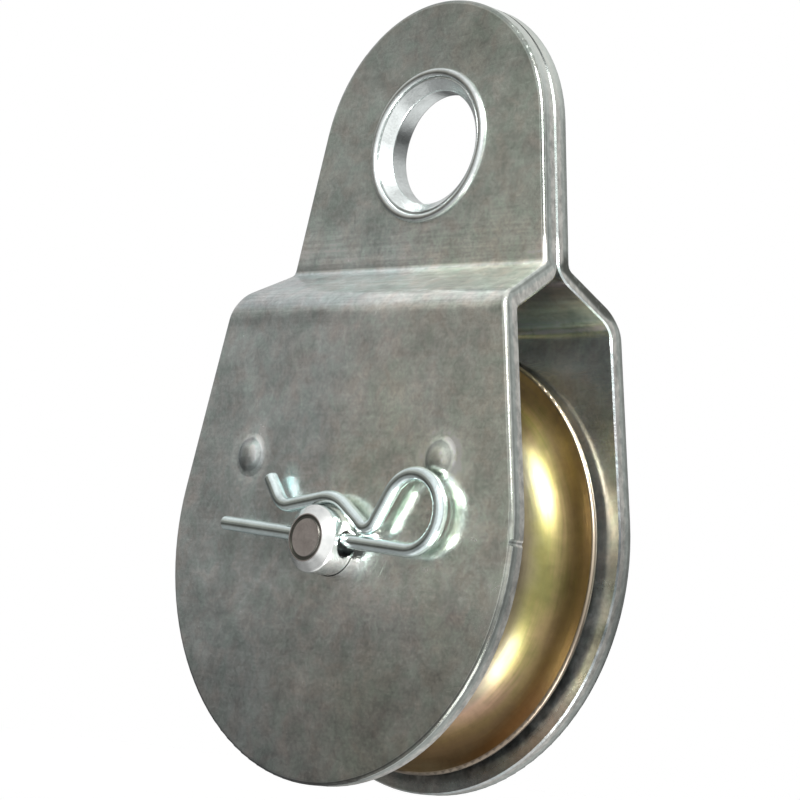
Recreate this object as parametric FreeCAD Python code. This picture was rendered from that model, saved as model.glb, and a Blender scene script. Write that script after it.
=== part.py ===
import FreeCAD, Part
import math
import os

from FreeCAD import Vector as V

os.makedirs("parts", exist_ok=True)

# Frame, in mm: the origin is the centre of the eye's bore, +Y runs along that
# bore to the rear, +Z is up and +X is to the right seen from the front.

# overall
AXLE_DROP = 49.0        # axle centre below the eye centre
BODY_DEPTH = 20.3       # over the outer faces of the two cheeks
SHEET_T = 2.2           # cheek sheet thickness

# cheek outline, front view
BODY_R = 28.25          # lower round
BODY_UP = 0.25          # its centre above the axle
BODY_LEAN = 11.356      # lean of the sides, degrees
CROWN_R = 18.5          # upper round
CROWN_DROP = 0.5        # its centre below the eye centre
CROWN_LEAN = 9.8        # lean of the tongue sides, degrees
KNEE_LOW = (23.32, 27.6)    # half width and height above the axle
KNEE_HIGH = (21.33, 33.7)
KNEE_R = 11.0

# cheek side view: virtual corners of the outer face, above the axle
JOG_HIGH = 33.8
JOG_HIGH_R = 0.9        # outer radius of the neck bend
JOG_HARD = (22.0, 28.6, 3.0)    # shoulder on the front's right: x, corner, outer radius
JOG_SOFT = (-22.0, 29.3, 4.5)   # shoulder on the front's left

EDGE_ROUND = 0.55       # rolled outer edge of the blanks
EDGE_BREAK = 0.2        # inner edge

# pressed bumps, raised outwards, with a hollow behind each
BUMP_X = 16.0
BUMP_Z = 10.0           # above the axle
BUMP_R = 2.3
BUMP_H = 0.68
BUMP_BASE_ROUND = 1.5
HOLLOW_R = 2.25
HOLLOW_DEPTH = 0.7

# shear mark on one edge
NICK_Z = 1.0
NICK_H = 0.8
NICK_D = 0.34

# eye bushing
EYE_R = 6.95            # throat
EYE_THROAT = 2.0        # length of the straight throat
EYE_WALL_R = 8.6
FLARE_ROUND = 0.35      # round between the throat and the flare
FLARE_ANGLE = 46.0      # half angle of the flare's cone, degrees
FLARE_END_R = 8.15      # where the cone turns over
VALLEY = (8.34, 8.43)   # narrow valley between the flare and the bead
VALLEY_OUT = 0.02       # its height over the cheek
BEAD_R = 8.98           # middle of the rolled bead
BEAD_HALF_W = 0.55
BEAD_H = 0.54           # its height over the cheek

# axle pin
PIN_R = 3.97
PIN_HOLE_R = 4.05
PIN_NOSE = 4.2          # past the front cheek
PIN_CHAMFER_L = 0.95
PIN_END_R = 2.8
PIN_HEAD_R = 5.45
PIN_HEAD_T = 2.8
PIN_HEAD_GAP = 0.08
PIN_RING = (2.2, 2.62)  # shallow ring sunk in the nose's end face
PIN_RING_DEPTH = 0.14
CROSS_HOLE_R = 1.5
CROSS_HOLE_OUT = 1.05   # centre of the cross hole past the front cheek
CROSS_HOLE_TILT = 4.8   # the pin has turned by this many degrees

# sheave
SHEAVE_R = 25.4         # where the groove's flanks end
GROOVE_R = 6.35
LIP_IN = 0.4            # round between the flank and the rim
LIP_OUT = 0.22          # round between the rim and the side
RIM_W = 14.1
HUB_W = 15.5
HUB_R = 9.5
BUSH_OUT_R = 5.55
BUSH_IN_R = 4.03

# hairpin clip, in its own plane
WIRE_R = 0.85
CLIP_OUT = 1.5          # middle of the wire past the front cheek
CLIP_TILT = 3.78        # lean of the straight leg, degrees
LEG_START = -17.5
LEG_RISE = 0.343        # height of the leg over the axle centre
BOW_X = 14.2
BOW_Z = 3.72
WAVE = [                # corners of the wavy leg and the bends at them
    (7.65, 1.02, 1.5),
    (1.541, 5.276, 4.9),
    (-7.46, 3.70, 2.6),
]
WAVE_TIP = (-10.3, 7.3)

PI = math.pi
FRONT_OUT = -BODY_DEPTH / 2


def fillet_path(points, radii):
    """Lines through the points with the inner corners rounded."""
    edges = []
    here = points[0]
    for i in range(1, len(points) - 1):
        a, b, c = points[i - 1], points[i], points[i + 1]
        u = (a - b).normalize()
        w = (c - b).normalize()
        angle = u.getAngle(w)
        cut = radii[i - 1] / math.tan(angle / 2)
        t0, t1 = b + u * cut, b + w * cut
        mid = (u + w).normalize()
        centre = b + mid * (radii[i - 1] / math.sin(angle / 2))
        arc_mid = centre - mid * radii[i - 1]
        edges.append(Part.makeLine(here, t0))
        edges.append(Part.Arc(t0, arc_mid, t1).toShape())
        here = t1
    edges.append(Part.makeLine(here, points[-1]))
    return edges


def offset_corner(a, b, c, d):
    """Corner of the inner face where the strip a-b-c turns, d thick to the +Y side."""
    def shifted(p, q):
        u = (q - p).normalize()
        n = V(0, u.z, -u.y)
        return p + n * d, q + n * d
    p1, p2 = shifted(a, b)
    q1, q2 = shifted(b, c)
    r, s = p2 - p1, q2 - q1
    den = r.y * s.z - r.z * s.y
    k = ((q1.y - p1.y) * s.z - (q1.z - p1.z) * s.y) / den
    return p1 + r * k


# ---------------------------------------------------------------- cheek
def cheek_outline():
    """Closed front view, at y = 0."""
    lean = math.radians(BODY_LEAN)
    crown = math.radians(CROWN_LEAN)
    tan_low = (BODY_R * math.cos(lean), BODY_UP + BODY_R * math.sin(lean))
    top_c = AXLE_DROP - CROWN_DROP
    tan_high = (CROWN_R * math.cos(crown), top_c + CROWN_R * math.sin(crown))

    def at(x, z):
        return V(x, 0, z - AXLE_DROP)

    right = fillet_path(
        [at(*tan_low), at(*KNEE_LOW), at(*KNEE_HIGH), at(*tan_high)],
        [KNEE_R, KNEE_R],
    )
    left = fillet_path(
        [at(-tan_high[0], tan_high[1]), at(-KNEE_HIGH[0], KNEE_HIGH[1]),
         at(-KNEE_LOW[0], KNEE_LOW[1]), at(-tan_low[0], tan_low[1])],
        [KNEE_R, KNEE_R],
    )
    bottom = Part.Arc(
        at(-tan_low[0], tan_low[1]), at(0, BODY_UP - BODY_R), at(*tan_low)).toShape()
    top = Part.Arc(
        at(*tan_high), at(0, top_c + CROWN_R),
        at(-tan_high[0], tan_high[1])).toShape()
    return Part.Wire([bottom] + right + [top] + left)


def strip_edges(x, low, low_r):
    """Side view of the front cheek's sheet at x: its outer and its inner edges."""
    z_low, z_high = -AXLE_DROP - 40.0, 40.0
    o = [V(x, FRONT_OUT, z_low), V(x, FRONT_OUT, low - AXLE_DROP),
         V(x, -SHEET_T, JOG_HIGH - AXLE_DROP), V(x, -SHEET_T, z_high)]
    i1 = offset_corner(o[0], o[1], o[2], SHEET_T)
    i2 = offset_corner(o[1], o[2], o[3], SHEET_T)
    inner = [V(x, FRONT_OUT + SHEET_T, z_low), i1, i2, V(x, 0, z_high)]
    return (fillet_path(o, [low_r, JOG_HIGH_R]),
            fillet_path(inner, [low_r - SHEET_T, JOG_HIGH_R + SHEET_T]))


def sewn(faces):
    made = Part.makeCompound(faces)
    made.sewShape()
    return made.Shells[0]


def build_strip():
    """The joggled sheet, wider than the blank, and its outer and inner skins."""
    ends = []
    for x in (-28.6, 28.6):
        k = (x - JOG_HARD[0]) / (JOG_SOFT[0] - JOG_HARD[0])
        low = JOG_HARD[1] + k * (JOG_SOFT[1] - JOG_HARD[1])
        low_r = JOG_HARD[2] + k * (JOG_SOFT[2] - JOG_HARD[2])
        ends.append(strip_edges(x, low, low_r))

    def quad(a, b, c, d):
        return Part.Face(Part.makePolygon([a, b, c, d, a]))

    def skin(left, right):
        faces = []
        for i, (e, f) in enumerate(zip(left, right)):
            if i in (0, len(left) - 1):
                faces.append(quad(e.Vertexes[0].Point, e.Vertexes[-1].Point,
                                  f.Vertexes[-1].Point, f.Vertexes[0].Point))
            else:
                faces.append(Part.makeRuledSurface(e, f))
        return faces

    outer = skin(ends[0][0], ends[1][0])
    inner = skin(ends[0][1], ends[1][1])
    caps = []
    tips = []
    for out_e, in_e in ends:
        o0, o1 = out_e[0].Vertexes[0].Point, out_e[-1].Vertexes[-1].Point
        i0, i1 = in_e[0].Vertexes[0].Point, in_e[-1].Vertexes[-1].Point
        tips.append((o0, o1, i0, i1))
        edges = out_e + [Part.makeLine(o1, i1)] + in_e + [Part.makeLine(i0, o0)]
        caps.append(Part.Face(Part.Wire(Part.__sortEdges__(edges))))
    (a0, a1, b0, b1), (c0, c1, d0, d1) = tips
    caps += [quad(a0, b0, d0, c0), quad(a1, b1, d1, c1)]
    solid = Part.Solid(sewn(outer + inner + caps))
    if solid.Volume < 0:
        solid.reverse()
    return solid, sewn(outer), sewn(inner)


def cap(radius, height, at, inward):
    """Part of a ball, radius wide at its base and height tall, on the base point at."""
    ball = (radius ** 2 + height ** 2) / (2 * height)
    centre = at + V(0, inward * (height - ball), 0)
    sphere = Part.makeSphere(ball, centre)
    box = Part.makeBox(4 * radius, height + 1, 4 * radius)
    box.translate(at + V(-2 * radius, 0 if inward > 0 else -height - 1, -2 * radius))
    return sphere.common(box)


def build_front_cheek():
    outline = cheek_outline()
    blank = Part.Face(outline)
    blank.translate(V(0, -30, 0))
    blank = blank.extrude(V(0, 60, 0))
    strip, outer, inner = build_strip()
    sheet = strip.common(blank)
    sheet = sheet.Solids[0] if sheet.ShapeType != "Solid" else sheet

    side = outline.copy()
    side.translate(V(0, -30, 0))
    side = side.extrude(V(0, 60, 0))

    def rim(solid, skin):
        found = []
        for e in solid.Edges:
            m = e.valueAt((e.FirstParameter + e.LastParameter) / 2)
            v = Part.Vertex(m)
            if v.distToShape(skin)[0] < 1e-4 and v.distToShape(side)[0] < 1e-4:
                if all(
                    Part.Vertex(e.valueAt(e.FirstParameter + k * (e.LastParameter - e.FirstParameter))).distToShape(s)[0] < 1e-4
                    for k in (0.2, 0.8) for s in (skin, side)
                ):
                    found.append(e)
        return found

    sheet = sheet.makeFillet(EDGE_ROUND, rim(sheet, outer))
    sheet = sheet.makeChamfer(EDGE_BREAK, rim(sheet, inner))

    # eye hole and pin hole
    eye_hole = Part.makeCylinder(EYE_WALL_R, 60, V(0, -30, 0), V(0, 1, 0))
    pin_hole = Part.makeCylinder(
        PIN_HOLE_R, 60, V(0, -30, -AXLE_DROP), V(0, 1, 0))
    sheet = sheet.cut(eye_hole).cut(pin_hole)

    # pressed bumps
    for s in (-1, 1):
        z = BUMP_Z - AXLE_DROP
        bump = cap(BUMP_R, BUMP_H, V(s * BUMP_X, FRONT_OUT, z), -1)
        sheet = sheet.fuse(bump).removeSplitter()
        base = [e for e in sheet.Edges
                if e.Curve.TypeId == "Part::GeomCircle"
                and abs(e.Curve.Radius - BUMP_R) < 1e-4
                and abs(e.Curve.Center.y - FRONT_OUT) < 1e-4]
        sheet = sheet.makeFillet(BUMP_BASE_ROUND, base)
        hollow = cap(HOLLOW_R, HOLLOW_DEPTH, V(s * BUMP_X, FRONT_OUT + SHEET_T, z), -1)
        sheet = sheet.cut(hollow)

    # shear mark across the right edge
    mark = Part.makeCylinder(
        NICK_H / 2, 6, V(BODY_R + NICK_H / 2 - NICK_D, FRONT_OUT - 1, NICK_Z - AXLE_DROP),
        V(0, 1, 0))
    sheet = sheet.cut(mark)
    return sheet.removeSplitter()


# ---------------------------------------------------------------- eye bushing
def build_eye_bushing():
    t_half = EYE_THROAT / 2

    def p(r, y, s):
        return V(r, s * y, 0)

    def half_edges(s):
        t = math.radians(FLARE_ANGLE)
        c = EYE_R + FLARE_ROUND

        def on_round(q):
            return p(c - FLARE_ROUND * math.cos(q), t_half + FLARE_ROUND * math.sin(q), s)

        r0, r1, r2 = p(EYE_R, t_half, s), on_round(t / 2), on_round(t)
        crest = abs(r2.y) + (FLARE_END_R - r2.x) / math.tan(t)
        floor_y = SHEET_T + VALLEY_OUT
        a = p(FLARE_END_R, crest, s)
        mid = p((FLARE_END_R + VALLEY[0]) / 2 + 0.01, crest + 0.035, s)
        v0, v1 = p(VALLEY[0], floor_y, s), p(VALLEY[1], floor_y, s)
        b0 = p(BEAD_R - BEAD_HALF_W, floor_y + 0.04, s)
        top = p(BEAD_R, SHEET_T + BEAD_H, s)
        b1 = p(BEAD_R + BEAD_HALF_W, floor_y + 0.04, s)
        e = p(BEAD_R + BEAD_HALF_W, SHEET_T, s)
        f = p(EYE_WALL_R, SHEET_T, s)
        return [Part.Arc(r0, r1, r2).toShape(), Part.makeLine(r2, a), Part.Arc(a, mid, v0).toShape(),
                Part.makeLine(v0, v1), Part.makeLine(v1, b0), Part.Arc(b0, top, b1).toShape(),
                Part.makeLine(b1, e), Part.makeLine(e, f)]

    throat = Part.makeLine(p(EYE_R, t_half, -1), p(EYE_R, t_half, 1))
    wall = Part.makeLine(p(EYE_WALL_R, SHEET_T, -1), p(EYE_WALL_R, SHEET_T, 1))
    wire = Part.Wire(Part.__sortEdges__(half_edges(-1) + half_edges(1) + [throat, wall]))
    return Part.Face(wire).revolve(V(0, 0, 0), V(0, 1, 0), 360)


# ---------------------------------------------------------------- axle pin
def build_axle_pin():
    z = -AXLE_DROP
    tip = FRONT_OUT - PIN_NOSE
    seat = BODY_DEPTH / 2 + PIN_HEAD_GAP
    top = seat + PIN_HEAD_T
    w = [
        (0, tip), (PIN_END_R, tip), (PIN_R, tip + PIN_CHAMFER_L), (PIN_R, seat),
        (PIN_HEAD_R, seat), (PIN_HEAD_R, top), (0, top),
    ]
    pts = [V(r, y, z) for r, y in w]
    wire = Part.makePolygon(pts + [pts[0]])
    pin = Part.Face(wire).revolve(V(0, 0, z), V(0, 1, 0), 360)

    def ring(solid, r, y):
        return [e for e in solid.Edges
                if e.Curve.TypeId == "Part::GeomCircle"
                and abs(e.Curve.Radius - r) < 1e-4 and abs(e.Curve.Center.y - y) < 1e-4]

    pin = pin.makeFillet(0.9, ring(pin, PIN_HEAD_R, top))
    pin = pin.makeFillet(0.25, ring(pin, PIN_HEAD_R, seat))
    pin = pin.makeFillet(0.15, ring(pin, PIN_END_R, tip))
    pin = pin.makeFillet(0.3, ring(pin, PIN_R, tip + PIN_CHAMFER_L))
    inner, outer = PIN_RING
    sunk = Part.makeCylinder(outer, PIN_RING_DEPTH, V(0, tip, z), V(0, 1, 0)).cut(
        Part.makeCylinder(inner, PIN_RING_DEPTH + 1, V(0, tip - 0.5, z), V(0, 1, 0)))
    pin = pin.cut(sunk)
    t = math.radians(CROSS_HOLE_TILT)
    axis = V(math.cos(t), 0, -math.sin(t))
    centre = V(0, FRONT_OUT - CROSS_HOLE_OUT, z)
    hole = Part.makeCylinder(CROSS_HOLE_R, 20, centre - axis * 10, axis)
    pin = pin.cut(hole)
    # break the mouths of the cross hole
    mouth = []
    for e in pin.Edges:
        m = e.valueAt((e.FirstParameter + e.LastParameter) / 2)
        off = m - centre
        along = off.dot(axis)
        radial = (off - axis * along).Length
        if abs(radial - CROSS_HOLE_R) < 1e-3 and abs(math.hypot(m.x, m.z - z) - PIN_R) < 1e-3:
            mouth.append(e)
    try:
        pin = pin.makeChamfer(0.18, mouth)
    except Exception:
        pass
    return pin


# ---------------------------------------------------------------- sheave
def build_sheave():
    z = -AXLE_DROP
    half = RIM_W / 2
    hub = HUB_W / 2

    def p(r, y):
        return V(r, y, z)

    rim = SHEAVE_R + LIP_IN
    c45 = math.cos(math.pi / 4)

    def lip(s):
        """From the groove's end over the rounded rim to the side."""
        land = GROOVE_R + LIP_IN
        return [
            Part.Arc(
                p(SHEAVE_R, s * GROOVE_R),
                p(SHEAVE_R + LIP_IN * c45, s * (land - LIP_IN * c45)),
                p(rim, s * land)).toShape(),
            Part.makeLine(p(rim, s * land), p(rim, s * (half - LIP_OUT))),
            Part.Arc(
                p(rim, s * (half - LIP_OUT)),
                p(rim - LIP_OUT + LIP_OUT * c45, s * (half - LIP_OUT + LIP_OUT * c45)),
                p(rim - LIP_OUT, s * half)).toShape(),
        ]

    groove = Part.Arc(
        p(SHEAVE_R, -GROOVE_R), p(SHEAVE_R - GROOVE_R, 0), p(SHEAVE_R, GROOVE_R)).toShape()
    edges = [groove] + lip(1) + [
        Part.makeLine(p(rim - LIP_OUT, half), p(HUB_R + 0.8, half)),
        Part.makeLine(p(HUB_R + 0.8, half), p(HUB_R, hub)),
        Part.makeLine(p(HUB_R, hub), p(BUSH_OUT_R, hub)),
        Part.makeLine(p(BUSH_OUT_R, hub), p(BUSH_OUT_R, -hub)),
        Part.makeLine(p(BUSH_OUT_R, -hub), p(HUB_R, -hub)),
        Part.makeLine(p(HUB_R, -hub), p(HUB_R + 0.8, -half)),
        Part.makeLine(p(HUB_R + 0.8, -half), p(rim - LIP_OUT, -half)),
    ] + lip(-1)[::-1]
    wheel = Part.Face(Part.Wire(edges)).revolve(V(0, 0, z), V(0, 1, 0), 360)
    return wheel


def build_sheave_bushing():
    hub = HUB_W / 2
    z = -AXLE_DROP
    tube = Part.makeCylinder(BUSH_OUT_R, HUB_W, V(0, -hub, z), V(0, 1, 0))
    bore = Part.makeCylinder(BUSH_IN_R, HUB_W + 2, V(0, -hub - 1, z), V(0, 1, 0))
    tube = tube.cut(bore)
    mouths = [e for e in tube.Edges
              if e.Curve.TypeId == "Part::GeomCircle" and abs(e.Curve.Radius - BUSH_IN_R) < 1e-4]
    return tube.makeChamfer(0.35, mouths)


# ---------------------------------------------------------------- hairpin clip
def build_hairpin_clip():
    y = FRONT_OUT - CLIP_OUT
    slope = math.tan(math.radians(CLIP_TILT))

    def at(x, z):
        return V(x, y, z - AXLE_DROP)

    # the bow is tangent to the straight leg
    n = math.hypot(1, slope)
    bow_r = (BOW_Z - (LEG_RISE - slope * BOW_X)) / n
    a0 = -90 - CLIP_TILT

    def bow(a):
        t = math.radians(a)
        return at(BOW_X + bow_r * math.cos(t), BOW_Z + bow_r * math.sin(t))

    # the wavy leg leaves the bow on the tangent through its first corner
    dx, dz = BOW_X - WAVE[0][0], BOW_Z - WAVE[0][1]
    a1 = math.degrees(math.atan2(dz, dx) + math.asin(bow_r / math.hypot(dx, dz))) + 90

    start = at(LEG_START, LEG_RISE - slope * LEG_START)
    leg = Part.makeLine(start, bow(a0))
    arc = Part.Arc(bow(a0), bow((a0 + a1) / 2), bow(a1)).toShape()
    wave = fillet_path(
        [bow(a1)] + [at(x, z) for x, z, r in WAVE] + [at(*WAVE_TIP)],
        [r for x, z, r in WAVE])
    spine = Part.Wire([leg, arc] + wave)
    direction = V(1, 0, -slope).normalize()
    section = Part.Wire([Part.makeCircle(WIRE_R, start, direction)])
    pipe = spine.makePipeShell([section], True, False)
    pipe = pipe if pipe.ShapeType == "Solid" else pipe.Solids[0]
    if pipe.Volume < 0:
        pipe.reverse()
    tips = (start, at(*WAVE_TIP))
    ends = [e for e in pipe.Edges
            if e.Curve.TypeId == "Part::GeomCircle" and abs(e.Curve.Radius - WIRE_R) < 1e-3
            and min((e.Curve.Center - p).Length for p in tips) < 1e-3]
    return pipe.makeFillet(0.3, ends)


front = build_front_cheek()
rear = front.copy()
rear.rotate(V(0, 0, 0), V(0, 0, 1), 180)

nodes = {
    "front_cheek": front,
    "rear_cheek": rear,
    "eye_bushing": build_eye_bushing(),
    "axle_pin": build_axle_pin(),
    "sheave": build_sheave(),
    "sheave_bushing": build_sheave_bushing(),
    "hairpin_clip": build_hairpin_clip(),
}

for name, shape in nodes.items():
    shape = shape.Solids[0] if len(shape.Solids) == 1 else shape
    if not shape.isValid() or shape.Volume <= 0:
        print("PROBLEM", name, shape.isValid(), shape.Volume)
    box = shape.BoundBox
    print(name, shape.ShapeType, len(shape.Solids), round(shape.Volume, 1),
          [round(v, 2) for v in (box.XMin, box.XMax, box.YMin, box.YMax, box.ZMin, box.ZMax)])
    shape.exportStep("parts/" + name + ".step")
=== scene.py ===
import math

import bpy
from mathutils import Matrix, Vector

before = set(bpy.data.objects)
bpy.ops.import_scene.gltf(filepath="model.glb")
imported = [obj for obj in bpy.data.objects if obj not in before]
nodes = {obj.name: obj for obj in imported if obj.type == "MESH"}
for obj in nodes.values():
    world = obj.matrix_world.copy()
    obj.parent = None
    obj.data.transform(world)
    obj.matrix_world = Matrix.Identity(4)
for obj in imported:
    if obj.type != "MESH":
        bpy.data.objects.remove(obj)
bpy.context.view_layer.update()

AXLE = -0.049           # height of the axle, in metres
SHEET = 0.0022
FRONT = -0.01015

scene = bpy.context.scene


# ------------------------------------------------------------ node helpers
class Graph:
    """A small wrapper that adds nodes to a material or world and links them."""

    def __init__(self, tree):
        self.t = tree
        self.t.nodes.clear()

    def add(self, kind, **props):
        n = self.t.nodes.new("ShaderNode" + kind)
        for k, v in props.items():
            setattr(n, k, v)
        return n

    def put(self, socket, value):
        if value is None:
            return
        if isinstance(value, bpy.types.NodeSocket):
            self.t.links.new(value, socket)
        elif isinstance(value, (int, float)) and hasattr(socket.default_value, "__len__"):
            socket.default_value = [value] * len(socket.default_value)
        elif isinstance(value, (tuple, list)) and len(socket.default_value) == 4 and len(value) == 3:
            socket.default_value = (*value, 1.0)
        else:
            socket.default_value = value

    def math(self, op, a, b=None, c=None, clamp=False):
        n = self.add("Math", operation=op, use_clamp=clamp)
        for i, v in enumerate((a, b, c)):
            if v is not None:
                self.put(n.inputs[i], v)
        return n.outputs[0]

    def vec(self, op, a, b=None, scale=None):
        n = self.add("VectorMath", operation=op)
        self.put(n.inputs[0], a)
        if b is not None:
            self.put(n.inputs[1], b)
        if scale is not None:
            self.put(n.inputs["Scale"], scale)
        return n.outputs["Value"] if op in ("LENGTH", "DOT_PRODUCT", "DISTANCE") else n.outputs[0]

    def split(self, v):
        n = self.add("SeparateXYZ")
        self.put(n.inputs[0], v)
        return n.outputs[0], n.outputs[1], n.outputs[2]

    def join(self, x, y, z):
        n = self.add("CombineXYZ")
        for i, v in enumerate((x, y, z)):
            self.put(n.inputs[i], v)
        return n.outputs[0]

    def noise(self, vector, scale, detail=3.0, rough=0.55, distort=0.0, out=0):
        n = self.add("TexNoise", noise_dimensions="3D")
        self.put(n.inputs["Vector"], vector)
        n.inputs["Scale"].default_value = scale
        n.inputs["Detail"].default_value = detail
        n.inputs["Roughness"].default_value = rough
        n.inputs["Distortion"].default_value = distort
        return n.outputs[out]

    def ramp(self, fac, stops, mode="LINEAR"):
        n = self.add("ValToRGB")
        self.put(n.inputs[0], fac)
        r = n.color_ramp
        r.interpolation = mode
        while len(r.elements) > 1:
            r.elements.remove(r.elements[-1])
        for i, (p, c) in enumerate(stops):
            e = r.elements[0] if i == 0 else r.elements.new(p)
            e.position = p
            e.color = (c, c, c, 1) if isinstance(c, (int, float)) else (*c, 1)
        return n.outputs[0]

    def span(self, v, a, b, lo=0.0, hi=1.0):
        """v from a to b becomes lo to hi, held at the ends, with a smooth step."""
        n = self.add("MapRange", interpolation_type="SMOOTHSTEP")
        self.put(n.inputs["Value"], v)
        for k, x in (("From Min", a), ("From Max", b), ("To Min", lo), ("To Max", hi)):
            n.inputs[k].default_value = x
        return n.outputs[0]

    def mix(self, fac, a, b, mode="MIX"):
        n = self.add("Mix", data_type="RGBA", blend_type=mode, clamp_factor=True)
        self.put(n.inputs["Factor"], fac)
        for s, v in (("A", a), ("B", b)):
            sock = [i for i in n.inputs if i.name == s and i.type == "RGBA"][0]
            self.put(sock, v)
        return [o for o in n.outputs if o.type == "RGBA"][0]

    def bump(self, height, strength, distance, normal=None):
        n = self.add("Bump")
        self.put(n.inputs["Height"], height)
        n.inputs["Strength"].default_value = strength
        n.inputs["Distance"].default_value = distance
        if normal is not None:
            self.put(n.inputs["Normal"], normal)
        return n.outputs[0]


def new_material(name):
    m = bpy.data.materials.new(name)
    m.use_nodes = True
    g = Graph(m.node_tree)
    out = g.add("OutputMaterial")
    bsdf = g.add("BsdfPrincipled")
    g.t.links.new(bsdf.outputs[0], out.inputs["Surface"])
    coord = g.add("TexCoord")
    mm = g.vec("SCALE", coord.outputs["Object"], scale=1000.0)
    return m, g, bsdf, coord, mm


def use(node, material):
    o = nodes[node]
    o.data.materials.clear()
    o.data.materials.append(material)


# ------------------------------------------------------------ zinc-plated sheet
def zinc_sheet(name, seed, flip):
    m, g, bsdf, coord, mm = new_material(name)
    x, y, z = g.split(mm)
    nx, ny, nz = g.split(coord.outputs["Normal"])
    shift = g.vec("ADD", mm, (seed * 31.0, seed * 17.0, seed * 53.0))
    sx, sy, sz = g.split(shift)

    # cloudy mottling of the plating, from broad stains to a fine grain
    broad = g.noise(shift, 0.055, 3.0, 0.55, 0.4)
    cloud = g.noise(shift, 0.22, 4.0, 0.6, 0.3)
    patch = g.noise(shift, 0.75, 3.0, 0.6, 1.1)
    blot = g.noise(shift, 0.42, 2.0, 0.5, 0.5)
    grain = g.noise(shift, 2.3, 3.0, 0.65)
    # rolling direction runs across the tongue
    roll = g.noise(g.join(g.math("MULTIPLY", sx, 0.07), sy, g.math("MULTIPLY", sz, 2.2)), 1.0, 3.0, 0.6)

    # cool on one side, olive on the other
    side = x if not flip else g.math("MULTIPLY", x, -1.0)
    warm = g.math("ADD", g.span(side, -24.0, 22.0),
                  g.math("MULTIPLY", g.math("SUBTRACT", broad, 0.5), 1.5), clamp=True)
    tint = g.ramp(warm, [(0.0, (0.715, 0.772, 0.775)), (0.35, (0.725, 0.765, 0.755)),
                         (0.7, (0.750, 0.768, 0.730)), (1.0, (0.735, 0.762, 0.680))])
    # the tongue is a touch greener
    tint = g.mix(g.span(z, -22.0, 0.0, 0.0, 0.55), tint, (0.700, 0.775, 0.715))
    pink = g.span(g.noise(shift, 0.16, 2.0, 0.5), 0.52, 0.72)
    tint = g.mix(g.math("MULTIPLY", pink, 0.40), tint, (0.790, 0.725, 0.700))
    lum = g.math("ADD", g.math("MULTIPLY", cloud, 0.42), g.math("MULTIPLY", patch, 0.26))
    lum = g.math("ADD", lum, g.math("MULTIPLY", grain, 0.22))
    lum = g.math("ADD", lum, g.math("MULTIPLY", roll, 0.10))
    face = g.mix(1.0, tint, g.ramp(lum, [(0.34, 0.64), (0.50, 0.99), (0.66, 1.32)]), "MULTIPLY")
    # greenish and pinkish blots
    face = g.mix(1.0, face, g.ramp(blot, [(0.34, (0.955, 1.01, 0.99)), (0.5, (1.0, 1.0, 1.0)),
                                          (0.66, (1.045, 0.992, 0.98))]), "MULTIPLY")
    # painted shade: darker on the tongue, towards the bottom and at the crown
    face = g.mix(1.0, face, g.ramp(g.span(z, -16.5, -8.0), [(0.0, 1.0), (1.0, 0.905)]), "MULTIPLY")
    face = g.mix(1.0, face, g.ramp(g.span(z, -50.0, -73.0), [(0.0, 1.0), (1.0, 0.68)]), "MULTIPLY")
    face = g.mix(1.0, face, g.ramp(g.span(z, 2.0, 14.0), [(0.0, 1.0), (1.0, 0.76)]), "MULTIPLY")
    # drawn streaks along the bends
    bend = g.math("MULTIPLY", g.span(z, -6.0, -13.5), g.span(z, -23.5, -21.0))
    streak = g.math("MULTIPLY", g.math("SUBTRACT", roll, 0.5), g.math("MULTIPLY", bend, 0.55))
    face = g.mix(1.0, face, g.ramp(g.math("ADD", streak, 0.5), [(0.0, 0.55), (0.5, 1.0), (1.0, 1.45)]), "MULTIPLY")
    # painted shade: less bright on the gentler side of the shoulder
    soft_side_shade = g.math("MULTIPLY", g.math("MULTIPLY", g.span(z, -25.0, -21.0), g.span(z, -13.0, -15.0)),
                  g.span(side, 6.0, -16.0))
    face = g.mix(1.0, face, g.ramp(soft_side_shade, [(0.0, 1.0), (1.0, 0.68)]), "MULTIPLY")
    # painted highlight: lighter above the neck
    neck_highlight = g.math("MULTIPLY", g.span(z, -3.0, -14.2), g.span(z, -16.5, -15.0))
    face = g.mix(1.0, face, g.ramp(neck_highlight, [(0.0, 1.0), (1.0, 1.22)]), "MULTIPLY")

    # how deep a point is in the sheet: 0 on the outer face, 2.2 on the inner one
    ay = g.math("ABSOLUTE", y)
    web = g.add("MapRange", interpolation_type="LINEAR")
    g.put(web.inputs["Value"], z)
    for k, v in (("From Min", -20.2), ("From Max", -15.2), ("To Min", 10.15), ("To Max", 2.2)):
        web.inputs[k].default_value = v
    on_web = g.math("MULTIPLY", g.span(z, -21.2, -19.6), g.span(z, -14.2, -15.6))
    deep = g.math("MULTIPLY", g.math("SUBTRACT", web.outputs[0], ay),
                  g.math("SUBTRACT", 1.0, g.math("MULTIPLY", on_web, 0.45)))
    # painted shade: the rounded corners along the cut and the inner face are darkened
    any_ = g.math("ABSOLUTE", ny)
    bent = g.math("MULTIPLY", g.span(z, -24.0, -22.0), g.span(z, -11.5, -13.5))
    slant = g.math("MULTIPLY", g.span(any_, 0.985, 0.90), g.math("SUBTRACT", 1.0, bent))
    crown = g.span(z, 0.0, 9.0)
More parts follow.
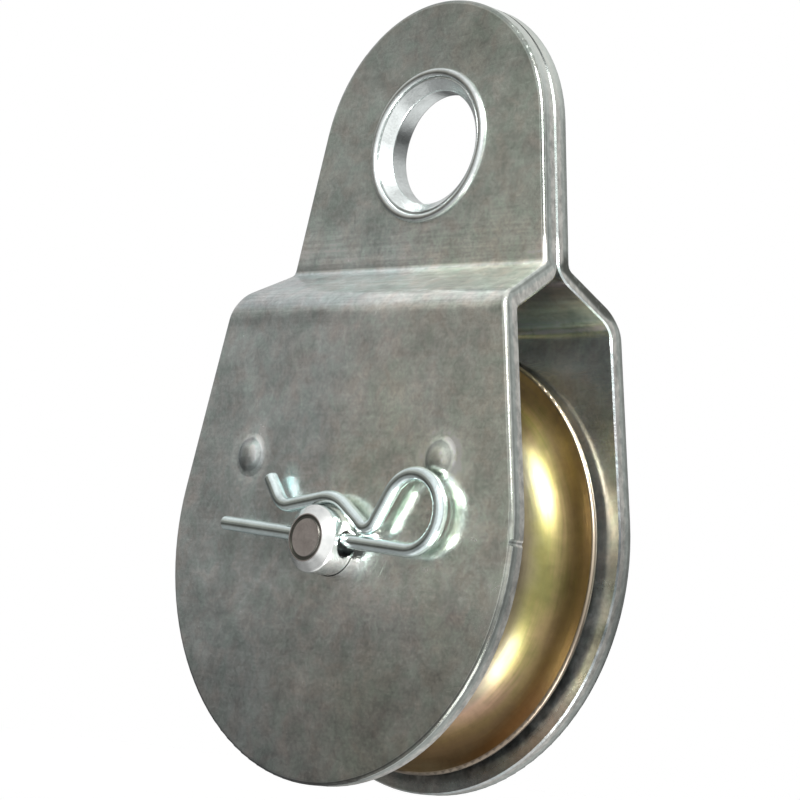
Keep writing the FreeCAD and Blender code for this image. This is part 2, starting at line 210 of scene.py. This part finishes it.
    # the raised bumps: a painted highlight round the base of each, on one of them also a painted highlight on its
    # shoulder, and painted shade left of the middle
    dz = g.math("ADD", z, 39.0)
    for side, shoulder, shade in ((-16.0, 1.0, 0.95), (16.0, 0.3, 0.3)):
        dx = g.math("SUBTRACT", x, side)
        dist = g.vec("LENGTH", g.join(dx, 0.0, dz))
        foot_highlight = g.math("MULTIPLY", g.span(dist, 1.7, 2.5), g.span(dist, 4.2, 3.0))
        face = g.mix(foot_highlight, face, g.mix(1.0, face, (1.24, 1.24, 1.24), "MULTIPLY"))
        shoulder_highlight = g.vec("LENGTH", g.join(g.math("DIVIDE", g.math("SUBTRACT", dx, 1.2), 1.05), 0.0,
                                     g.math("DIVIDE", g.math("SUBTRACT", dz, 0.6), 2.1)))
        shoulder_highlight = g.math("MULTIPLY", g.span(shoulder_highlight, 1.15, 0.35), shoulder)
        face = g.mix(shoulder_highlight, face, g.mix(1.0, face, (1.95, 1.98, 1.93), "MULTIPLY"))
        bump_shade = g.vec("LENGTH", g.join(g.math("DIVIDE", g.math("ADD", dx, 0.75), 0.75), 0.0,
                                      g.math("DIVIDE", g.math("ADD", dz, 0.3), 2.2)))
        face = g.mix(g.math("MULTIPLY", g.span(bump_shade, 1.2, 0.3), shade), face, g.mix(1.0, face, (0.74, 0.75, 0.74), "MULTIPLY"))
    if not flip:
        # painted reflection: a pale spot on the plate where the wire's tip is mirrored in it
        tip = g.vec("LENGTH", g.join(g.math("DIVIDE", g.math("ADD", x, 8.3), 1.6), 0.0,
                                     g.math("DIVIDE", g.math("ADD", z, 42.4), 1.9)))
        face = g.mix(g.span(tip, 1.3, 0.6), face, g.mix(1.0, face, (1.55, 1.72, 1.74), "MULTIPLY"))
    # painted light: the middle of the body a little lighter on its right
    right = g.math("MULTIPLY", g.span(x, -5.0, 9.0), g.math("MULTIPLY", g.span(z, -27.0, -34.0), g.span(z, -60.0, -52.0)))
    face = g.mix(1.0, face, g.ramp(right, [(0.0, 0.9), (1.0, 1.0)]), "MULTIPLY")
    face = g.mix(1.0, face, (1.1111, 1.1111, 1.1111), "MULTIPLY")
    # painted shade on the rounded corners, its strength set by height and by which face
    corner_shade = g.math("ADD", g.span(z, -18.0, -12.0, 0.43, 0.24), g.math("MULTIPLY", crown, 0.36))
    inner = g.math("MULTIPLY", g.span(deep, 1.2, 2.0), g.math("SUBTRACT", 1.0, bent))
    outside = g.math("MULTIPLY", corner_shade, g.span(z, -50.0, -58.0, 1.0, 0.50))
    inside = g.math("MULTIPLY", corner_shade, g.span(z, -44.0, -70.0, 0.45, 2.2))
    corner_shade = g.mix(inner, g.join(outside, outside, outside), g.join(inside, inside, inside))
    face = g.mix(1.0, face, g.mix(slant, (1.0, 1.0, 1.0), corner_shade), "MULTIPLY")
    # painted shade: the inner face a little darker
    face = g.mix(1.0, face, g.ramp(inner, [(0.0, 1.0), (1.0, 0.80)]), "MULTIPLY")
    out = g.vec("LENGTH", g.join(x, 0.0, g.math("ADD", z, 49.0)))
    if flip:
        # painted highlight: a lighter band where the shoulder turns down, on the inner side
        band = g.math("MULTIPLY", g.math("MULTIPLY", g.span(z, -22.6, -21.4), g.span(z, -18.0, -19.6)),
                      g.span(deep, 1.2, 1.9))
        face = g.mix(band, face, g.mix(1.0, face, (1.60, 1.78, 1.62), "MULTIPLY"))
    # painted highlight: a lighter ring on the inner face just outside the wheel's rim, low down, left out of the
    # shade beside the wheel
    fringe = g.math("MULTIPLY", g.span(out, 26.0, 27.3), g.span(z, -56.0, -66.0))
    beside = g.math("MULTIPLY", inner, g.span(z, -46.0, -56.0))
    beside = g.math("MULTIPLY", beside, g.math("SUBTRACT", 1.0, fringe))
    face = g.mix(1.0, face, g.ramp(g.math("MULTIPLY", fringe, inner), [(0.0, 0.8), (1.0, 1.0)]), "MULTIPLY")
    face = g.mix(1.0, face, (1.25, 1.25, 1.25), "MULTIPLY")
    # painted shade on the inner face beside the wheel, mottled by the cloud noise
    face = g.mix(1.0, face, g.mix(beside, (1.0, 1.0, 1.0),
                                  g.ramp(cloud, [(0.36, 0.30), (0.5, 0.58), (0.62, 1.0)])), "MULTIPLY")
    # sheared edge of the blank: a burnished band and a torn band
    edge = g.span(any_, 0.16, 0.42, 1.0, 0.0)
    edge = g.math("MULTIPLY", edge, g.span(g.vec("LENGTH", g.join(x, 0.0, z)), 8.3, 8.9))
    around = g.join(g.math("MULTIPLY", sx, 0.8), g.math("MULTIPLY", sy, 1.3), g.math("MULTIPLY", sz, 0.8))
    tear = g.noise(around, 1.0, 3.0, 0.65)
    line = g.math("ADD", deep, g.math("MULTIPLY", g.math("SUBTRACT", tear, 0.5), 0.9))
    bright = g.ramp(tear, [(0.30, (0.38, 0.41, 0.385)), (0.5, (0.48, 0.515, 0.485)), (0.7, (0.60, 0.64, 0.60))])
    torn = g.ramp(tear, [(0.30, (0.38, 0.378, 0.355)), (0.5, (0.60, 0.595, 0.555)), (0.7, (0.78, 0.770, 0.72))])
    cut = g.mix(g.span(line, 1.10, 1.45), bright, torn)
    seam = g.math("MULTIPLY", g.span(deep, 0.42, 0.55), g.span(deep, 0.86, 0.70))
    cut = g.mix(g.math("MULTIPLY", seam, 0.45), cut, (0.20, 0.22, 0.20))
    # painted shade: the cut edges darker towards the bottom
    cut = g.mix(1.0, cut, g.ramp(g.span(z, -50.0, -62.0), [(0.0, 1.0), (1.0, 0.74)]), "MULTIPLY")
    cut = g.mix(g.math("MULTIPLY", crown, 0.7), cut, (0.74, 0.79, 0.74))
    if flip:
        # painted shade: dark along the outer half of the shoulder's cut, broken up by the tear noise
        shoulder_cut_shade = g.math("MULTIPLY", g.math("MULTIPLY", g.span(z, -21.4, -19.2), g.span(z, -12.6, -14.4)),
                      g.span(deep, 1.55, 0.95))
        shoulder_cut_shade = g.math("MULTIPLY", shoulder_cut_shade, g.span(tear, 0.26, 0.48, 0.40, 0.97))
        cut = g.mix(shoulder_cut_shade, cut, (0.105, 0.110, 0.096))
    g.put(bsdf.inputs["Base Color"], g.mix(edge, face, cut))
    bsdf.inputs["Metallic"].default_value = 0.94

    rough = g.math("ADD", g.math("MULTIPLY", cloud, 0.16), g.math("MULTIPLY", grain, 0.06))
    rough = g.math("ADD", rough, g.math("MULTIPLY", edge, 0.12))
    rough = g.math("ADD", rough, g.math("MULTIPLY", beside, 0.10))
    rough = g.math("ADD", rough, 0.120)
    g.put(bsdf.inputs["Roughness"], rough)

    # scratches: thin bright lines of a stretched noise, in two directions
    def scratch(angle, fine, lo):
        r = g.add("VectorRotate", rotation_type="Y_AXIS")
        g.put(r.inputs["Vector"], shift)
        r.inputs["Angle"].default_value = math.radians(angle)
        ax, ay, az = g.split(r.outputs[0])
        n = g.noise(g.join(g.math("MULTIPLY", ax, 0.07), g.math("MULTIPLY", ay, 0.3),
                           g.math("MULTIPLY", az, fine)), 1.0, 2.0, 0.5)
        return g.span(n, lo, lo + 0.05)

    marks = g.math("ADD", scratch(9.0, 3.4, 0.66), scratch(63.0, 2.9, 0.68), clamp=True)
    h = g.math("ADD", g.math("MULTIPLY", cloud, 0.6), g.math("MULTIPLY", patch, 0.34))
    h = g.math("ADD", h, g.math("MULTIPLY", grain, 0.13))
    h = g.math("ADD", h, g.math("MULTIPLY", roll, 0.06))
    h = g.math("SUBTRACT", h, g.math("MULTIPLY", marks, 0.06))
    h = g.math("ADD", h, g.math("MULTIPLY", g.math("MULTIPLY", tear, edge), 0.5))
    g.put(bsdf.inputs["Normal"], g.bump(h, 1.0, 0.000045))
    return m


# ------------------------------------------------------------ bright zinc
def zinc_bright(name, base, rough, seed, wave):
    m, g, bsdf, coord, mm = new_material(name)
    shift = g.vec("ADD", mm, (seed * 11.0, seed * 23.0, seed * 7.0))
    cloud = g.noise(shift, 0.5, 4.0, 0.6)
    grain = g.noise(shift, 4.0, 2.0, 0.6)
    lum = g.math("ADD", g.math("MULTIPLY", cloud, 0.7), g.math("MULTIPLY", grain, 0.3))
    k = g.ramp(lum, [(0.32, 0.84), (0.5, 1.0), (0.7, 1.08)])
    g.put(bsdf.inputs["Base Color"], g.mix(1.0, base, k, "MULTIPLY"))
    bsdf.inputs["Metallic"].default_value = 1.0
    g.put(bsdf.inputs["Roughness"],
          g.math("ADD", g.math("MULTIPLY", lum, 0.14), rough - 0.07))
    h = g.math("ADD", g.math("MULTIPLY", cloud, 1.0), g.math("MULTIPLY", grain, 0.15))
    g.put(bsdf.inputs["Normal"], g.bump(h, 1.0, wave))
    return m


def pin_metal():
    """Turned pin: fine rings round the shank, a duller sheared end."""
    m, g, bsdf, coord, mm = new_material("pin_zinc")
    x, y, z = g.split(mm)
    zz = g.math("ADD", z, 49.0)
    r = g.math("SQRT", g.math("ADD", g.math("MULTIPLY", x, x), g.math("MULTIPLY", zz, zz)))
    nx, ny, nz = g.split(coord.outputs["Normal"])
    end = g.span(g.math("ABSOLUTE", ny), 0.90, 0.99)
    cloud = g.noise(mm, 0.6, 4.0, 0.6)
    grain = g.noise(mm, 3.5, 2.0, 0.6)
    rings = g.noise(g.join(g.math("MULTIPLY", x, 0.15), g.math("MULTIPLY", y, 5.0),
                           g.math("MULTIPLY", zz, 0.15)), 1.0, 2.0, 0.5)
    lathe = g.noise(g.join(g.math("MULTIPLY", r, 3.2), 0.0, 0.0), 1.0, 2.0, 0.5)
    body = g.ramp(cloud, [(0.3, (0.76, 0.78, 0.77)), (0.7, (0.92, 0.93, 0.91))])
    tip = g.ramp(g.math("ADD", g.math("MULTIPLY", cloud, 0.6), g.math("MULTIPLY", grain, 0.4)),
                 [(0.3, (0.62, 0.56, 0.54)), (0.7, (0.90, 0.83, 0.80))])
    ring = g.math("MULTIPLY", g.span(r, 2.12, 2.26), g.span(r, 2.74, 2.60))
    ring = g.math("MULTIPLY", ring, g.span(y, -12.0, -14.0))
    tip = g.mix(ring, tip, (0.13, 0.13, 0.115))
    g.put(bsdf.inputs["Base Color"], g.mix(g.math("MAXIMUM", end, ring), body, tip))
    bsdf.inputs["Metallic"].default_value = 1.0
    rough = g.math("ADD", g.math("MULTIPLY", cloud, 0.12), 0.14)
    rough = g.math("ADD", rough, g.math("MULTIPLY", ring, 0.12))
    g.put(bsdf.inputs["Roughness"], g.math("ADD", rough, g.math("MULTIPLY", end, 0.14)))
    h = g.math("ADD", g.math("MULTIPLY", rings, 0.25), g.math("MULTIPLY", cloud, 0.6))
    h = g.math("ADD", h, g.math("MULTIPLY", g.math("MULTIPLY", lathe, end), 0.6))
    g.put(bsdf.inputs["Normal"], g.bump(h, 1.0, 0.00003))
    return m


# ------------------------------------------------------------ yellow chromate
def yellow_chromate():
    m, g, bsdf, coord, mm = new_material("yellow_chromate")
    x, y, z = g.split(mm)
    zz = g.math("ADD", z, 49.0)
    r = g.math("SQRT", g.math("ADD", g.math("MULTIPLY", x, x), g.math("MULTIPLY", zz, zz)))
    around = g.math("ARCTAN2", zz, x)
    ca, sa = g.math("COSINE", around), g.math("SINE", around)
    # coordinates that run slowly round the wheel and fast across it
    ring = g.join(g.math("MULTIPLY", ca, 1.4), g.math("MULTIPLY", sa, 1.4),
                  g.math("ADD", g.math("MULTIPLY", y, 1.1), g.math("MULTIPLY", r, 0.9)))
    turned = g.noise(ring, 2.4, 1.0, 0.5)
    cloud = g.noise(mm, 0.13, 4.0, 0.6, 0.6)
    spots = g.noise(mm, 0.9, 3.0, 0.6)
    depth = g.span(r, 19.2, 25.0)
    stain = g.math("ADD", g.math("MULTIPLY", depth, 0.62), g.math("MULTIPLY", g.math("SUBTRACT", cloud, 0.5), 0.9))
    stain = g.math("ADD", stain, g.math("MULTIPLY", g.math("SUBTRACT", turned, 0.5), 0.35))
    stain = g.math("ADD", stain, g.math("MULTIPLY", g.span(zz, -5.0, -20.0), 0.26))
    color = g.ramp(stain, [(0.0, (0.235, 0.222, 0.066)), (0.16, (0.230, 0.208, 0.060)),
                           (0.48, (0.350, 0.255, 0.110)), (0.72, (0.310, 0.215, 0.108)),
                           (1.0, (0.36, 0.27, 0.15))])
    k = g.ramp(spots, [(0.3, 0.91), (0.5, 1.0), (0.7, 1.07)])
    rosy = g.span(g.math("ADD", g.math("ABSOLUTE", y), g.math("MULTIPLY", g.math("SUBTRACT", cloud, 0.5), 3.0)), 4.2, 0.8)
    color = g.mix(g.math("MULTIPLY", rosy, 0.75), color, (0.385, 0.303, 0.230))
    # painted highlight: a lighter peach tint over the lower part, where the low highlight spreads
    flush = g.math("MULTIPLY", g.span(zz, -11.0, -20.0), g.span(g.math("ABSOLUTE", y), 5.8, 4.4))
    color = g.mix(g.math("MULTIPLY", flush, 0.50), color, (0.44, 0.300, 0.235))
    ay = g.math("ABSOLUTE", y)
    # painted shade: the flanks a little darker round the middle height of the wheel
    lee_shade = g.math("MULTIPLY", g.math("MULTIPLY", g.span(ay, 3.2, 4.3), g.span(ay, 5.8, 5.0)),
                 g.math("MULTIPLY", g.span(zz, 9.0, 2.0), g.span(zz, -21.0, -13.0)))
    color = g.mix(1.0, color, g.ramp(lee_shade, [(0.0, 1.0), (1.0, 0.86)]), "MULTIPLY")
    beside = g.math("MULTIPLY", g.span(ay, 1.8, 2.8), g.span(ay, 4.4, 3.6))
    wash = g.math("MULTIPLY", beside, g.math("MAXIMUM", g.span(zz, -7.0, -10.0), g.span(zz, 3.0, 7.0)))
    color = g.mix(g.math("MULTIPLY", wash, 0.9), color, g.mix(1.0, color, (0.89, 0.93, 1.28), "MULTIPLY"))
    # painted highlight: the lower flank lighter and less yellow, where the low highlight's edge falls
    flank = g.math("MULTIPLY", g.math("MULTIPLY", g.span(ay, 3.6, 4.3), g.span(ay, 5.6, 5.0)),
                   g.math("MULTIPLY", g.span(zz, -11.0, -14.0), g.span(zz, -20.0, -16.5)))
    color = g.mix(flank, color, g.mix(1.0, color, (1.24, 1.12, 1.42), "MULTIPLY"))
    # painted light: the upper part of the wheel lighter
    upper = g.mix(g.span(ay, 4.8, 5.6), (1.16, 1.00, 1.60), (1.15, 1.20, 1.35))
    color = g.mix(g.span(zz, 11.0, 14.5), color, g.mix(1.0, color, upper, "MULTIPLY"))
    # painted light: the lowest part of the wheel lighter and whiter
    base = g.span(zz, -23.2, -25.0)
    color = g.mix(base, color, g.mix(1.0, color, (1.6, 1.85, 2.2), "MULTIPLY"))
    brown = g.span(zz, -13.0, -23.0)
    color = g.mix(brown, color, g.mix(1.0, color, (1.03, 0.91, 0.77), "MULTIPLY"))
    color = g.mix(1.0, color, k, "MULTIPLY")
    # painted light: the upper flank lighter
    upper_flank_light = g.math("MULTIPLY", g.span(zz, 8.0, 17.0), g.span(g.math("ABSOLUTE", y), 4.8, 5.7))
    color = g.mix(1.0, color, g.ramp(upper_flank_light, [(0.0, 0.5), (1.0, 1.0)]), "MULTIPLY")
    color = g.mix(1.0, color, (2.0, 2.0, 2.0), "MULTIPLY")
    # thin plating on the rim's corner
    rim = g.span(r, 25.30, 25.52)
    # painted highlight: lighter near the groove's middle on the lower front
    pale = g.math("MULTIPLY", g.math("MULTIPLY", g.span(zz, 2.0, -7.0), g.span(zz, -22.0, -12.0)),
                  g.span(g.math("ABSOLUTE", y), 2.6, 0.8))
    color = g.mix(1.0, color, g.ramp(pale, [(0.0, 0.6666), (1.0, 0.92)]), "MULTIPLY")
    color = g.mix(1.0, color, (1.5, 1.5, 1.5), "MULTIPLY")
    # the rim's corner in its plating colour, with painted shade making it darker towards the bottom
    lip = g.mix(g.span(zz, -9.0, 3.0), (0.235, 0.195, 0.155), (0.44, 0.375, 0.29))
    color = g.mix(g.math("MULTIPLY", rim, 0.85), color, lip)
    g.put(bsdf.inputs["Base Color"], color)
    bsdf.inputs["Metallic"].default_value = 1.0
    rough = g.math("ADD", g.math("MULTIPLY", spots, 0.05), g.math("MULTIPLY", cloud, 0.10))
    g.put(bsdf.inputs["Roughness"], g.math("ADD", rough, 0.235))
    bsdf.inputs["Coat Weight"].default_value = 0.6
    bsdf.inputs["Coat Roughness"].default_value = 0.30
    h = g.math("ADD", g.math("MULTIPLY", turned, 0.42), g.math("MULTIPLY", spots, 0.05))
    g.put(bsdf.inputs["Normal"], g.bump(h, 1.0, 0.000022))
    return m


def bronze():
    m, g, bsdf, coord, mm = new_material("bearing_bronze")
    pores = g.noise(mm, 5.0, 3.0, 0.6)
    cloud = g.noise(mm, 0.6, 3.0, 0.6)
    color = g.ramp(g.math("ADD", g.math("MULTIPLY", pores, 0.5), g.math("MULTIPLY", cloud, 0.5)),
                   [(0.3, (0.16, 0.09, 0.045)), (0.55, (0.38, 0.23, 0.11)), (0.75, (0.50, 0.33, 0.17))])
    g.put(bsdf.inputs["Base Color"], color)
    bsdf.inputs["Metallic"].default_value = 1.0
    g.put(bsdf.inputs["Roughness"], g.math("ADD", g.math("MULTIPLY", pores, 0.2), 0.35))
    g.put(bsdf.inputs["Normal"], g.bump(pores, 1.0, 0.00003))
    return m


use("front_cheek", zinc_sheet("zinc_sheet_front", 1.0, False))
use("rear_cheek", zinc_sheet("zinc_sheet_rear", 4.0, True))
use("eye_bushing", zinc_bright("eye_zinc", (0.80, 0.845, 0.835), 0.21, 2.0, 0.00004))
use("axle_pin", pin_metal())
use("hairpin_clip", zinc_bright("clip_zinc", (0.82, 0.93, 0.925), 0.13, 5.0, 0.00002))
use("sheave", yellow_chromate())
use("sheave_bushing", bronze())

# ------------------------------------------------------------ floor
floor_z = AXLE - 0.55
bpy.ops.mesh.primitive_plane_add(size=40.0, location=(0, 0, floor_z))
floor = bpy.context.object
floor.name = "floor"
fm, g, bsdf, coord, mm = new_material("studio_floor")
g.put(bsdf.inputs["Base Color"],
      g.ramp(g.noise(coord.outputs["Object"], 3.0, 2.0), [(0.3, (0.93, 0.93, 0.93)), (0.7, (0.95, 0.95, 0.95))]))
bsdf.inputs["Roughness"].default_value = 0.9
bsdf.inputs["Specular IOR Level"].default_value = 0.1
bsdf.inputs["Emission Color"].default_value = (1, 1, 1, 1)
bsdf.inputs["Emission Strength"].default_value = 0.3
floor.data.materials.append(fm)
floor.visible_glossy = False
floor.visible_diffuse = False
floor.visible_shadow = False


# ------------------------------------------------------------ camera
def place_camera():
    az, el, roll = (math.radians(v) for v in (45.959, -6.642, 6.67))
    dist, x0, z0 = 0.310876, -0.00191, 0.018341
    back = Vector((math.sin(az) * math.cos(el), -math.cos(az) * math.cos(el), math.sin(el)))
    right = Vector((math.cos(az), math.sin(az), 0.0))
    up = back.cross(right)
    r2 = right * math.cos(roll) + up * math.sin(roll)
    u2 = -right * math.sin(roll) + up * math.cos(roll)
    c = Vector((x0, 0.0, z0 + AXLE)) + back * dist
    data = bpy.data.cameras.new("camera")
    data.sensor_fit = "HORIZONTAL"
    data.sensor_width = 36.0
    data.lens = 2592.703 * 36.0 / 800.0
    data.clip_start = 0.01
    data.clip_end = 20.0
    cam = bpy.data.objects.new("camera", data)
    scene.collection.objects.link(cam)
    m = Matrix((r2, u2, back)).transposed().to_4x4()
    m.translation = c
    cam.matrix_world = m
    scene.camera = cam


place_camera()


# ------------------------------------------------------------ lights
def toward(az, el):
    a, e = math.radians(az), math.radians(el)
    return (math.cos(a) * math.cos(e), math.sin(a) * math.cos(e), math.sin(e))


def softbox(name, az, el, far, size, power, color=(1, 1, 1)):
    """A large round light that faces the wheel's axle."""
    data = bpy.data.lights.new(name, "AREA")
    data.shape = "DISK"
    data.size = size
    data.energy = power
    data.color = color
    o = bpy.data.objects.new(name, data)
    scene.collection.objects.link(o)
    to = Vector((0, 0, AXLE))
    o.location = to + Vector(toward(az, el)) * far
    o.rotation_euler = (to - o.location).to_track_quat("-Z", "Y").to_euler()
    return o


softbox("key", -42, 40, 1.0, 0.51, 15.5)
softbox("bounce", -25, -53, 1.0, 0.58, 8.4)

world = bpy.data.worlds.new("studio")
scene.world = world
world.use_nodes = True
g = Graph(world.node_tree)
out = g.add("OutputWorld")
coord = g.add("TexCoord")
d = coord.outputs["Generated"]
dx, dy, dz = g.split(d)
# a room with a pale ceiling, a grey far wall, darker below the horizon
ceiling = g.span(dz, 0.20, 0.46)
zenith = g.span(dz, 0.60, 0.90)
below = g.span(dz, 0.10, -0.10)
ground = g.span(dz, -0.20, -0.55)
nadir = g.span(dz, -0.72, -0.94)
tone = g.math("ADD", g.math("MULTIPLY", ceiling, 0.30), 0.26)
tone = g.math("ADD", tone, g.math("MULTIPLY", zenith, 0.30))
tone = g.math("SUBTRACT", tone, g.math("MULTIPLY", below, 0.165))
tone = g.math("ADD", tone, g.math("MULTIPLY", ground, 0.20))
tone = g.math("ADD", tone, g.math("MULTIPLY", nadir, 0.64))
# a grey wall on the left and a pale panel high above it
wall = g.span(g.vec("DOT_PRODUCT", d, toward(-138, 4)), 0.80, 0.95)
tone = g.math("MULTIPLY", tone, g.math("SUBTRACT", 1.0, g.math("MULTIPLY", wall, 0.20)))
panel = g.span(g.vec("DOT_PRODUCT", d, toward(165, 40)), 0.78, 0.97)
tone = g.math("ADD", tone, g.math("MULTIPLY", panel, 0.12))
# light thrown back from the table, low on the far right
table = g.span(g.vec("DOT_PRODUCT", d, toward(90, -46)), 0.72, 0.96)
tone = g.math("ADD", tone, g.math("MULTIPLY", table, 0.42))
# a broad pale screen behind the camera
screen = g.span(g.vec("DOT_PRODUCT", d, toward(-50, 4)), 0.31, 0.80)
# a grey flag stands before its left part
flag = g.span(g.vec("DOT_PRODUCT", d, toward(-97, -6)), 0.80, 0.96)
pale = g.math("SUBTRACT", 1.05, g.math("MULTIPLY", flag, 0.46))
tone = g.math("ADD", g.math("MULTIPLY", tone, g.math("SUBTRACT", 1.0, screen)),
              g.math("MULTIPLY", screen, pale))
# the grey wall is a little warm
warm = g.math("MULTIPLY", wall, g.math("SUBTRACT", 1.0, screen))
lit = g.add("Background")
g.put(lit.inputs["Color"], g.join(
    g.math("MULTIPLY", tone, g.math("ADD", g.math("MULTIPLY", warm, 0.045), 1.0)),
    tone,
    g.math("MULTIPLY", tone, g.math("SUBTRACT", 1.0, g.math("MULTIPLY", warm, 0.085)))))
lit.inputs["Strength"].default_value = 1.0
white = g.add("Background")
white.inputs["Color"].default_value = (1, 1, 1, 1)
white.inputs["Strength"].default_value = 1.0
path = g.add("LightPath")
pick = g.add("MixShader")
g.put(pick.inputs[0], path.outputs["Is Camera Ray"])
g.t.links.new(lit.outputs[0], pick.inputs[1])
g.t.links.new(white.outputs[0], pick.inputs[2])
g.t.links.new(pick.outputs[0], out.inputs["Surface"])

scene.view_settings.view_transform = "Standard"
scene.view_settings.look = "None"
scene.view_settings.exposure = 0.0
scene.view_settings.gamma = 1.0
